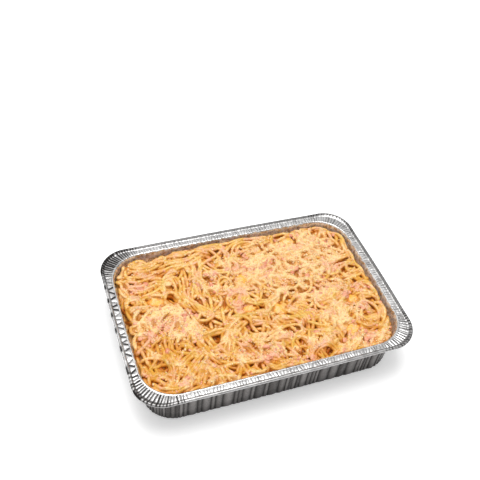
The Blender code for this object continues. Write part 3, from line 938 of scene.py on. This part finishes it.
# strands that lie in plain sight: corners in millimetres, and how many lie side by side
plainStrands = (
    (((-94, 26), (-87, 8), (-82, -8), (-77, -24), (-71, -40), (-65, -56), (-56, -70)), 4),
    (((-74, 48), (-77, 37), (-75, 27), (-68, 17), (-63, 5), (-57, -5), (-48, -6)), 2),
    (((-68, 24), (-59, 27), (-51, 23), (-45, 14), (-36, 8)), 1),
    (((-98, -30), (-92, -38), (-84, -46)), 2),
    (((-129, -35), (-123, -31), (-117, -36)), 1),
    (((-147, 32), (-142, 40), (-134, 42), (-128, 36), (-130, 27)), 2),
    (((-82, 8), (-80, -8), (-78, -22), (-74, -34)), 1),
    (((-98, 20), (-100, 30), (-94, 38), (-85, 36), (-82, 27), (-86, 19)), 1),
    (((-78, -30), (-70, -30), (-57, -29), (-43, -33)), 2),
    (((-66, -24), (-63, -35), (-57, -48), (-48, -56)), 1),
    (((-116, -40), (-115, -52), (-112, -64), (-116, -78)), 3),
    (((-107, -42), (-106, -52), (-109, -62)), 1),
    (((-74, -50), (-88, -58), (-98, -68), (-106, -78), (-113, -90)), 5),
    (((-74, -62), (-80, -68), (-86, -80), (-93, -94)), 2),
    (((-72, -66), (-72, -80), (-71, -95)), 2),
    (((-64, -72), (-61, -84), (-56, -95)), 2),
    (((-146, -60), (-134, -63), (-124, -68), (-114, -78)), 1),
    (((-132, -84), (-118, -91), (-104, -86), (-94, -80)), 2),
    (((-80, -62), (-76, -72), (-70, -86), (-66, -96)), 2),
    (((-72, 18), (-62, 12), (-53, 3), (-51, -5), (-60, -11), (-73, -9)), 1),
    (((-148, -30), (-144, -14), (-134, -10), (-126, -18), (-130, -30)), 1),
    (((-146, 44), (-132, 40), (-124, 28), (-120, 12), (-128, 2)), 1),
    (((-138, 60), (-122, 56), (-106, 58), (-92, 50), (-84, 54)), 2),
    (((-146, 76), (-149, 64), (-149, 52), (-143, 43), (-132, 42), (-122, 38)), 2),
    (((-130, 94), (-124, 86), (-114, 84), (-102, 85), (-90, 90)), 3),
    (((-98, 96), (-84, 92), (-70, 88), (-56, 89), (-42, 94)), 3),
    (((-96, 76), (-80, 74), (-66, 75), (-50, 78), (-36, 84)), 3),
    (((-48, 97), (-34, 92), (-22, 91), (-8, 94)), 2),
    (((-140, 72), (-126, 68), (-112, 68), (-98, 74)), 2),
    (((-128, 44), (-114, 45), (-102, 51), (-90, 58), (-76, 60)), 2),
    (((-6, 98), (6, 101), (18, 99), (32, 98)), 2),
    (((12, 86), (24, 86), (38, 90)), 2),
    (((-30, 66), (-16, 66), (-4, 70), (10, 72)), 2),
    (((-48, 56), (-34, 55), (-22, 52), (-8, 50)), 2),
    (((86, 40), (96, 43), (105, 37), (105, 25), (97, 16), (86, 15)), 2),
    (((120, 4), (132, 4), (144, 6), (150, 16)), 1),
    (((112, 18), (122, 26), (134, 28), (145, 23), (149, 15), (141, 10), (128, 13)), 2),
    (((86, -16), (98, -10), (110, -8), (124, -12)), 2),
    (((114, -19), (100, -27), (88, -35), (77, -45), (70, -56)), 3),
    (((133, -37), (143, -40), (147, -50), (144, -62), (136, -73), (126, -74)), 2),
    (((134, -8), (144, -12), (149, -24), (148, -36)), 2),
    (((57, -46), (60, -56), (67, -64), (76, -62), (80, -52)), 1),
    (((108, -4), (100, -14), (93, -26), (88, -42), (86, -58)), 2),
    (((98, -22), (110, -30), (122, -42), (130, -56)), 2),
    (((124, -20), (113, -34), (103, -42), (94, -46)), 1),
    (((110, -56), (114, -43), (125, -37), (135, -43), (138, -56), (131, -67), (119, -67)), 1),
    (((114, -62), (117, -49), (126, -45), (132, -54)), 1),
    (((102, -62), (114, -69), (126, -70), (142, -66)), 1),
    (((108, -76), (118, -81), (130, -81), (142, -72)), 2),
    (((46, -20), (53, -32), (54, -46), (47, -58), (44, -70), (38, -84)), 2),
    (((34, -18), (41, -28), (47, -40), (47, -46)), 2),
    (((26, -26), (35, -34), (41, -46), (40, -58)), 1),
    (((44, -60), (56, -63), (69, -67), (84, -68)), 2),
    (((49, -44), (58, -53), (68, -58), (76, -56)), 1),
    (((64, -33), (73, -37), (80, -48), (78, -60), (70, -68)), 1),
    (((-32, -20), (-16, -16), (0, -18), (14, -20), (22, -14)), 2),
    (((-20, -15), (-8, -16), (2, -19), (11, -20), (16, -15), (15, -9), (8, -6)), 2),
    (((-18, -20), (-31, -26), (-40, -35), (-46, -46), (-54, -60)), 4),
    (((-40, -84), (-32, -90), (-20, -92)), 1),
    (((-34, -44), (-27, -49), (-22, -56)), 1),
    (((-44, 93), (-22, 95), (0, 93), (22, 95), (44, 93)), 1),
    (((18, 61), (38, 66), (58, 73), (76, 74)), 2),
    (((-64, 52), (-53, 51), (-46, 43), (-48, 33)), 1),
    (((-53, 22), (-50, 32), (-41, 33), (-36, 25), (-42, 18)), 1),
    (((-64, -66), (-52, -73), (-38, -78), (-20, -80), (-4, -78)), 1),
    (((36, -97), (41, -84), (52, -79), (63, -81), (70, -93)), 2),
    (((22, -76), (24, -64), (32, -59), (40, -64), (42, -74)), 1),
    (((-14, -94), (0, -92), (14, -91), (28, -92)), 1),
    (((-84, -96), (-76, -88), (-64, -88), (-52, -93)), 1),
    (((-36, -30), (-40, -44), (-34, -56), (-22, -60)), 1),
    (((-24, -44), (-10, -46), (2, -48), (12, -44)), 1),
    (((-20, 22), (-10, 17), (-4, 6), (-10, -2)), 1),
    (((-151, -47), (-140, -44), (-129, -45), (-120, -51), (-117, -60), (-121, -69), (-130, -72),
      (-141, -70)), 1),
)

dice = np.random.default_rng(heap["seed"])
total = heap["looseMetres"]
layLooseStrands(dice, total * 0.32, avoidHollows=False, sizes=(2, 3, 4), sink=0.45, dipping=0.0)
for node, middle, half in lumps:       # the cheese is there before the last strands
    away = awayFrom(mapX, mapY, middle, half)
    dome = middle.z + half.z * np.sqrt(np.clip(1 - away ** 2, 0, 1))
    surface = np.where(away < 0.95, np.maximum(surface, dome - 0.8 * millimetre), surface)
layLooseStrands(dice, total * 0.36, avoidHollows=True, sizes=(1, 1, 2, 3), sink=0.42, dipping=0.5)
layLooseStrands(dice, total * 0.27, avoidHollows=True, sizes=(1, 1, 1, 2), sink=0.38, dipping=0.7)
for corners, count in plainStrands:
    line = smoothLine(np.array(corners) * millimetre, heap["step"])
    for number in range(count):
        beside = alongside(line, (number - (count - 1) / 2) * heap["strand"], dice)
        beside = longestInside(sidewaysSmooth(beside, 3))
        layStrand(beside, dice, 0.40, 0.35 * gentleWave(max(len(beside), 3), 0.022, dice) - 0.18)
layLooseStrands(dice, total * 0.05, avoidHollows=True, sizes=(1, 1, 2), sink=0.38, dipping=0.9)
print(len(strands), "strands,", round(sum(len(s["points"]) for s in strands) * heap["step"], 1), "metres")
over = (surface - heapTopMap)[distanceInside(mapX, mapY) > 0.004]
print("top against the plan, mm:", np.round(np.percentile(over, (2, 25, 50, 75, 98)) / millimetre, 2))


# sauce and pasta under the strands
core = {
    "cell": 0.8 * millimetre,
    "plainCover": 0.42,                 # how full the gaps are where little sauce lies
    "patchiness": 0.20,
    "proud": 0.95 * millimetre,         # thick sauce stands this far over the strands
    "deepest": 4.0 * millimetre,        # no gap but a hole goes further down than this
    "grain": 0.42 * millimetre,         # curdled sauce and minced ham too fine to be loose
    "grainSize": 2.3 * millimetre,
    "edgeSink": 1.6 * millimetre,       # gap along the foil
    "edgeBand": 3.0 * millimetre,
    "bottom": 2.0 * millimetre,
}
smother = ovalMap(sauced, 0.8)
hamMap = ovalMap(hamHeaps, 1.2)
fillMap = core["plainCover"] + (1 - core["plainCover"]) * smother + core["patchiness"] * cloudMap(0.0065, 4)
fillMap = np.clip(fillMap, 0, 1) * (1 - hollowMap * (0.95 - 0.6 * smother))
gaps = blurred(lowestNear(surface, 4), 2.0) - 0.5 * millimetre
unevenness = 0.55 + 0.45 * np.clip(cloudMap(0.005, 6), -1, 1.4)
cover = blurred(surface, 2.0) + core["proud"] * smother * unevenness
sauceMap = gaps * (1 - fillMap) + cover * fillMap
deepest = core["deepest"] * (1 - 0.7 * smother) * (1 + 0.6 * hollowMap)
sauceMap = np.maximum(sauceMap, blurred(surface, 8.0) - deepest)
edgeShare = np.clip(1 - distanceInside(mapX, mapY) / core["edgeBand"], 0, 1)
sauceMap -= core["edgeSink"] * edgeShare * np.clip((-mapX - 0.12) / 0.03, 0.25, 1)
crownMap = blurred(-lowestNear(-np.maximum(surface, sauceMap), 3), 2.5)    # level of the crowns round about
lowMap = lowestNear(surface, 4)
print("sauce level is set")


def bilinear(values, x, y):
    column = np.clip((x + halfLength) / heap["cell"] - 0.5, 0, columns - 1.001)
    row = np.clip((y + halfWidth) / heap["cell"] - 0.5, 0, rowsDeep - 1.001)
    c, r = column.astype(int), row.astype(int)
    u, v = column - c, row - r
    return ((values[r, c] * (1 - u) + values[r, c + 1] * u) * (1 - v)
            + (values[r + 1, c] * (1 - u) + values[r + 1, c + 1] * u) * v)


def depthShade(points):
    # 0 on the crowns, 1 some 3.5 mm down between them, for each point
    below = bilinear(crownMap, points[:, 0], points[:, 1]) - points[:, 2]
    return np.clip(below / (3.5 * millimetre), 0, 1)


def storeShade(mesh, tones, paleEdge=False):
    co = np.zeros(len(mesh.vertices) * 3)
    mesh.vertices.foreach_get("co", co)
    co = co.reshape(-1, 3)
    row, column = cellOf(co[:, 0], co[:, 1])
    values = np.ones((len(co), 4))
    frontLeftShade = 0.75 * np.clip((-0.35 * co[:, 0] - co[:, 1]) / 0.11, 0, 1)     # painted shade: the front left takes the deeper tone
    values[:, 0] = np.clip(tones + frontLeftShade, 0, 1)
    values[:, 1] = depthShade(co)
    if paleEdge:
        values[:, 1] *= np.clip(distanceInside(co[:, 0], co[:, 1]) / 0.004, 0.25, 1)
    values[:, 2] = np.clip(fillMap[row, column], 0, 1)
    layer = mesh.attributes.new("shade", "FLOAT_COLOR", "POINT")
    layer.data.foreach_set("color", values.ravel())
    layer = mesh.attributes.new("ham", "FLOAT", "POINT")
    layer.data.foreach_set("value", hamMap[row, column])


def buildCore(core):
    halfX, halfY = halfLength - heap["edgeInset"], halfWidth - heap["edgeInset"]
    across, deep = round(2 * halfX / core["cell"]), round(2 * halfY / core["cell"])
    bm = bmesh.new()
    bmesh.ops.create_grid(bm, x_segments=across, y_segments=deep, size=1.0)
    co = np.array([vert.co for vert in bm.verts])
    x, y = co[:, 0] * halfX, co[:, 1] * halfY
    # the square grid is drawn in to the rounded outline near its corners
    inside = distanceInside(x, y)
    far = inside < -core["cell"] * 0.75
    points = pulledIn(np.column_stack([x, y]), 0.0)
    wall = KDTree(len(wallLine))
    for index, place in enumerate(wallLine):
        wall.insert(place, index)
    wall.balance()
    near = np.abs(distanceInside(points[:, 0], points[:, 1])) < 0.1 * core["cell"]
    points[near] = [wall.find((*point, 0.0))[0][:2] for point in points[near]]
    snapped = (np.abs(inside) <= core["cell"] * 0.75) | far
    x = np.where(snapped, points[:, 0], x)
    y = np.where(snapped, points[:, 1], y)
    z = bilinear(sauceMap, x, y)
    for index, vert in enumerate(bm.verts):
        grain = noise.fractal(Vector((x[index], y[index], 0.3)) / core["grainSize"], 0.8, 2.1, 3)
        vert.co = (x[index], y[index], z[index] + core["grain"] * grain)
    bmesh.ops.delete(bm, geom=[vert for vert, out in zip(list(bm.verts), far) if out], context="VERTS")
    bmesh.ops.remove_doubles(bm, verts=bm.verts, dist=1e-5)
    # skirt down to the base, and a closed underside
    rim = [edge for edge in bm.edges if edge.is_boundary]
    low = bmesh.ops.extrude_edge_only(bm, edges=rim)["geom"]
    lowVerts = [item for item in low if isinstance(item, bmesh.types.BMVert)]
    for vert in lowVerts:
        vert.co.x *= 0.975
        vert.co.y *= 0.965
        vert.co.z = core["bottom"]
    bmesh.ops.holes_fill(bm, edges=[edge for edge in bm.edges if edge.is_boundary], sides=0)
    bmesh.ops.recalc_face_normals(bm, faces=bm.faces)
    return bm


def foodMaterial(name, colours, roughness, coat, grainStrength):
    # moist starchy food: light goes in a little, and a thin film of sauce shines
    material, tree, shader = newMaterial(name, {
        "Roughness": roughness, "IOR": 1.4, "Coat Weight": coat, "Coat Roughness": 0.25,
        "Subsurface Weight": 0.25, "Subsurface Radius": (1.0, 0.45, 0.15),
        "Subsurface Scale": 2.0 * millimetre})
    attribute = addNode(tree, "ShaderNodeAttribute", {"attribute_name": "shade"})
    shade = addNode(tree, "ShaderNodeSeparateColor", None, {"Color": attribute.outputs["Color"]})
    place = addNode(tree, "ShaderNodeTexCoord").outputs["Object"]
    # random tone of each strand, with painted shade at the front left
    colour = mixed(tree, colours["pale"], colours["deep"], shade.outputs["Red"])
    # sauce that clings in patches of about 4 mm, more where the gaps are full
    patch = addNode(tree, "ShaderNodeTexNoise", None,
                    {"Vector": place, "Scale": 240.0, "Detail": 4.0, "Roughness": 0.6}).outputs["Fac"]
    clinging = addNode(tree, "ShaderNodeMath", {"operation": "MULTIPLY_ADD"},
                       {0: shade.outputs["Blue"], 1: 0.40, 2: patch}).outputs["Value"]
    colour = laidOver(tree, colour, colours["sauce"], clinging, 0.58, 0.86)
    # pink cast of the minced ham in the sauce, in clouds of 12 mm with ragged edges
    cloud = addNode(tree, "ShaderNodeTexNoise", None,
                    {"Vector": place, "Scale": 80.0, "Detail": 5.0, "Roughness": 0.65}).outputs["Fac"]
    heaped = addNode(tree, "ShaderNodeAttribute", {"attribute_name": "ham"}).outputs["Fac"]
    cloud = addNode(tree, "ShaderNodeMath", {"operation": "MULTIPLY_ADD"},
                    {0: heaped, 1: 0.16, 2: cloud}).outputs["Value"]
    colour = laidOver(tree, colour, colours["blush"], cloud, 0.48, 0.68, 0.80)
    # flecks of a millimetre or two
    fleck = addNode(tree, "ShaderNodeTexNoise", None,
                    {"Vector": place, "Scale": 520.0, "Detail": 2.0}).outputs["Fac"]
    colour = laidOver(tree, colour, colours["fleck"], fleck, 0.54, 0.68, 0.75)
    # painted shade: yellow-orange where a strand turns away into the groove, brown where the gap is deep
    colour = laidOver(tree, colour, colours["grooveShade"], shade.outputs["Green"], 0.06, 0.56, 0.88)
    colour = laidOver(tree, colour, colours["gapShade"], shade.outputs["Green"], 0.45, 0.95)
    tree.links.new(colour, shader.inputs["Base Color"])
    curdle = addNode(tree, "ShaderNodeTexNoise", None,
                     {"Vector": place, "Scale": 600.0, "Detail": 3.0}).outputs["Fac"]
    bump = addNode(tree, "ShaderNodeBump", None,
                   {"Height": curdle, "Strength": grainStrength, "Distance": 0.0008})
    tree.links.new(bump.outputs["Normal"], shader.inputs["Normal"])
    return material


boiledSpaghetti = foodMaterial("boiledSpaghettiInSauce", {
    "pale": "#EDC36A", "deep": "#DCA23C", "sauce": "#F8CF92", "blush": "#EFB296",
    "fleck": "#D99A44", "grooveShade": "#D48A28", "gapShade": "#B05A06"},
    roughness=0.40, coat=0.20, grainStrength=0.65)
creamSauce = foodMaterial("creamSauceWithHam", {
    "pale": "#F8CA80", "deep": "#EEB866", "sauce": "#FAD397", "blush": "#EDAC92",
    "fleck": "#D8955A", "grooveShade": "#D49242", "gapShade": "#B4701C"},
    roughness=0.43, coat=0.16, grainStrength=0.95)

coreBm = buildCore(core)
corePiece = newPiece("sauce_and_pasta_core", coreBm, creamSauce)
storeShade(corePiece.data, 0.5, paleEdge=True)
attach(corePiece, "root")
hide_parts("pasta_heap")


# the strands as tubes
tubes = {
    "rough": 0.24 * millimetre,
    "roughSize": 2.6 * millimetre,
    "spare": 0.3 * millimetre,      # a strand is kept this far under what hides it
}


def tubePiece(name, chosen, material):
    curve = bpy.data.curves.new(name, "CURVE")
    curve.dimensions = "3D"
    curve.bevel_depth = 1.0
    curve.bevel_resolution = 2
    curve.use_fill_caps = True
    for points, radius, tone in chosen:
        spline = curve.splines.new("POLY")
        spline.points.add(len(points) - 1)
        spline.points.foreach_set("co", np.column_stack([points, np.ones(len(points))]).ravel())
        swelling = 1 + 0.05 * np.sin(np.arange(len(points)) * 0.8 + tone * 20)
        spline.points.foreach_set("radius", radius * swelling)
        spline.use_smooth = True
    holder = bpy.data.objects.new(name + "Curve", curve)
    scene.collection.objects.link(holder)
    mesh = bpy.data.meshes.new_from_object(holder.evaluated_get(bpy.context.evaluated_depsgraph_get()))
    bpy.data.objects.remove(holder)
    bm = bmesh.new()
    bm.from_mesh(mesh)
    bmesh.ops.remove_doubles(bm, verts=bm.verts, dist=1e-6)
    bmesh.ops.recalc_face_normals(bm, faces=bm.faces)
    bm.normal_update()
    for vert in bm.verts:       # uneven with sauce
        vert.co += vert.normal * tubes["rough"] * noise.fractal(vert.co / tubes["roughSize"], 0.7, 2.2, 2)
    piece = newPiece(name, bm, material)
    tree = KDTree(sum(len(points) for points, radius, tone in chosen))
    owners = []
    for points, radius, tone in chosen:
        for point in points:
            tree.insert(point, len(owners))
            owners.append(tone)
    tree.balance()
    tones = [owners[tree.find(vert.co)[1]] for vert in piece.data.vertices]
    storeShade(piece.data, tones)
    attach(piece, "root")


runs = []        # the stretches of the strands that neither sauce nor other strands hide
for strand in strands:
    points = strand["points"]
    hider = np.maximum(bilinear(sauceMap, points[:, 0], points[:, 1]),
                       bilinear(lowMap, points[:, 0], points[:, 1])) - tubes["spare"]
    seen = (points[:, 2] + strand["radius"] > hider).astype(int)
    for start, end in stretches(np.convolve(seen, (1, 1, 1, 1, 1), "same") > 0):
        if end - start > 3:
            runs.append((points[start:end], strand["radius"], strand["tone"]))
lengths = np.cumsum([len(points) for points, radius, tone in runs])
layers = ("lower_spaghetti", "middle_spaghetti", "top_spaghetti")
for number, name in enumerate(layers):
    share = (lengths > lengths[-1] * number / 3) & (lengths <= lengths[-1] * (number + 1) / 3)
    tubePiece(name, [run for run, inLayer in zip(runs, share) if inLayer], boiledSpaghetti)
print(len(runs), "stretches of strand show,", round(lengths[-1] * heap["step"], 1), "metres")


# cheese, ham and herbs
def lumpMaterial():
    # half-melted cheese: a soft dull shine, deep yellow where it shows through the sauce on it
    material, tree, shader = newMaterial("halfMeltedCheese", {
        "Roughness": 0.42, "Coat Weight": 0.1, "Coat Roughness": 0.3, "Subsurface Weight": 0.3,
        "Subsurface Radius": (1.0, 0.5, 0.12), "Subsurface Scale": 3.0 * millimetre})
    attribute = addNode(tree, "ShaderNodeAttribute", {"attribute_name": "shade"})
    shade = addNode(tree, "ShaderNodeSeparateColor", None, {"Color": attribute.outputs["Color"]})
    place = addNode(tree, "ShaderNodeTexCoord").outputs["Object"]
    # patches of 5 mm, washed over with sauce
    cloud = addNode(tree, "ShaderNodeTexNoise", None,
                    {"Vector": place, "Scale": 190.0, "Detail": 4.0, "Roughness": 0.6}).outputs["Fac"]
    colour = laidOver(tree, "#F7B444", "#F8C47A", cloud, 0.40, 0.60)
    smear = addNode(tree, "ShaderNodeTexNoise", None,
                    {"Vector": place, "Scale": 420.0, "Detail": 3.0}).outputs["Fac"]
    colour = laidOver(tree, colour, "#F9CF9A", smear, 0.52, 0.70, 0.6)
    # painted shade: deeper orange where the lump sinks below the crowns round about
    colour = laidOver(tree, colour, "#E8932A", shade.outputs["Green"], 0.05, 0.6)
    tree.links.new(colour, shader.inputs["Base Color"])
    bump = addNode(tree, "ShaderNodeBump", None, {"Height": smear, "Strength": 0.7, "Distance": 0.0010})
    tree.links.new(bump.outputs["Normal"], shader.inputs["Normal"])
    return material


def buildLump(node, middle, half, material):
    bm = bmesh.new()
    bmesh.ops.create_icosphere(bm, subdivisions=5, radius=1.0)
    for vert in bm.verts:
        way = vert.co.normalized()
        soft = 1 + 0.30 * noise.fractal(way * 1.6 + middle * 300, 1.0, 2.0, 3)
        soft += 0.10 * noise.fractal(way * 6.0 + middle * 100, 0.9, 2.0, 3)
        flat = Vector((way.x, way.y, way.z * 0.9)) * soft * 1.04
        vert.co = middle + Vector((flat.x * half.x, flat.y * half.y, flat.z * half.z))
    piece = newPiece(node + "_melted", bm, material)
    storeShade(piece.data, 0.5)
    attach(piece, "root")
    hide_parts(node)


cheese = lumpMaterial()
for node, middle, half in lumps:
    buildLump(node, middle, half, cheese)


def scatterPiece(name, bits, places, sizes, tones, random):
    # one mesh of many uneven bits, copied from a single small sphere
    bm = bmesh.new()
    bmesh.ops.create_icosphere(bm, subdivisions=bits["subdivisions"], radius=0.5)
    pattern = np.array([vert.co for vert in bm.verts])
    corners = np.array([[vert.index for vert in face.verts] for face in bm.faces])
    bm.free()
    count, each = len(places), len(pattern)
    spin, tilt = random.uniform(0, 2 * math.pi, count), random.uniform(-0.5, 0.5, count)
    long, broad = random.uniform(0.7, 1.35, count), random.uniform(0.6, 1.0, count)
    squeeze = sizes[:, None] * np.column_stack([long, broad, np.full(count, bits["flatness"])])
    points = pattern * squeeze[:, None, :] * random.uniform(0.78, 1.22, (count, each, 1))
    x, y, z = points[..., 0], points[..., 1], points[..., 2]
    y, z = (y * np.cos(tilt)[:, None] - z * np.sin(tilt)[:, None],
            y * np.sin(tilt)[:, None] + z * np.cos(tilt)[:, None])
    x, y = (x * np.cos(spin)[:, None] - y * np.sin(spin)[:, None],
            x * np.sin(spin)[:, None] + y * np.cos(spin)[:, None])
    points = (np.stack([x, y, z], axis=-1) + places[:, None, :]).reshape(-1, 3)
    faces = (corners[None] + each * np.arange(count)[:, None, None]).reshape(-1, 3)
    mesh = bpy.data.meshes.new(name)
    mesh.from_pydata(points.tolist(), [], faces.tolist())
    mesh.shade_smooth()
    layer = mesh.attributes.new("tone", "FLOAT_COLOR", "POINT")
    layer.data.foreach_set("color", np.repeat(tones, each * 4))
    mesh.materials.append(bits["material"])
    piece = bpy.data.objects.new(name, mesh)
    scene.collection.objects.link(piece)
    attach(piece, "root")
    print(name, "has", len(faces), "triangles")


def tonedMaterial(name, colours, roughness, subsurface):
    material, tree, shader = newMaterial(name, {
        "Roughness": roughness, "Subsurface Weight": subsurface,
        "Subsurface Radius": (1.0, 0.35, 0.25), "Subsurface Scale": 1.5 * millimetre})
    tone = addNode(tree, "ShaderNodeAttribute", {"attribute_name": "tone"}).outputs["Fac"]
    ramp = addNode(tree, "ShaderNodeValToRGB", None, {"Fac": tone})
    setStops(ramp.color_ramp, [(number / (len(colours) - 1), linearColour(colour))
                               for number, colour in enumerate(colours)])
    place = addNode(tree, "ShaderNodeTexCoord").outputs["Object"]
    speckle = addNode(tree, "ShaderNodeTexNoise", None,
                      {"Vector": place, "Scale": 900.0, "Detail": 2.0}).outputs["Fac"]
    colour = laidOver(tree, ramp.outputs["Color"], "#F3C695", speckle, 0.45, 0.7, 0.5)
    tree.links.new(colour, shader.inputs["Base Color"])
    return material


restMap = blurred(np.maximum(surface, sauceMap), 1.2)
insideMap = distanceInside(mapX, mapY) > 3.0 * millimetre
grooveMap = np.clip((crownMap - restMap) / (1.2 * millimetre), 0, 1)
shallowMap = np.clip(2.2 - (crownMap - restMap) / (1.2 * millimetre), 0, 1)      # 0 in the deep gaps


def placesOf(weights, count, lift, random):
    # random places on the heap, more of them where the weights are high
    chance = (weights * insideMap * shallowMap * (1 - np.clip(hollowMap * 2, 0, 1))).ravel()
    cells = random.choice(chance.size, count, p=chance / chance.sum())
    slide = random.uniform(-0.5, 0.5, (2, count)) * heap["cell"]
    return np.column_stack([mapX.ravel()[cells] + slide[0], mapY.ravel()[cells] + slide[1],
                            restMap.ravel()[cells] + lift])


hamClouds = np.exp(1.3 * cloudMap(0.010, 11)) * (0.35 + smother) + 12.0 * hamMap
# sizes and the lift over what they lie on are in millimetres, and a high power makes large bits rare
looseBits = {
    "minced_ham": {
        "count": 560, "sizes": (2.8, 7.6), "power": 2.2, "lift": -0.75, "flatness": 0.40,
        "subdivisions": 2, "where": hamClouds * (0.3 + grooveMap),
        "material": tonedMaterial("mincedHam", ("#F1B190", "#E99D7C", "#D78466", "#EEAA8A"), 0.45, 0.3),
    },
    "ham_crumbs": {
        "count": 420, "sizes": (1.8, 3.2), "power": 1, "lift": -0.3, "flatness": 0.55,
        "subdivisions": 1, "where": hamClouds * (0.15 + grooveMap),
        "material": tonedMaterial("hamCrumbsInSauce", ("#F8C9A8", "#F2B896", "#ECA584"), 0.45, 0.3),
    },
    "sauce_curds": {
        "count": 2600, "sizes": (1.2, 3.2), "power": 1, "lift": 0.0, "flatness": 0.55,
        "subdivisions": 1, "where": (0.20 + smother) * (0.3 + grooveMap),
        "material": tonedMaterial("curdledCream", ("#FBDCAE", "#F6C88E", "#EBB272"), 0.45, 0.3),
    },
    "herb_specks": {
        "count": 110, "sizes": (0.7, 1.1), "power": 1, "lift": 0.1, "flatness": 0.4,
        "subdivisions": 1, "where": np.ones_like(mapX),
        "material": tonedMaterial("driedHerbs", ("#B08A50", "#A88A68", "#9A7848"), 0.7, 0.0),
    },
}
dice = np.random.default_rng(5)
for name, bits in looseBits.items():
    places = placesOf(bits["where"], bits["count"], bits["lift"] * millimetre, dice)
    low, high = bits["sizes"]
    sizes = (low + (high - low) * dice.uniform(0, 1, bits["count"]) ** bits["power"]) * millimetre
    scatterPiece(name, bits, places, sizes, dice.uniform(0, 1, bits["count"]), dice)
print("toppings are laid")
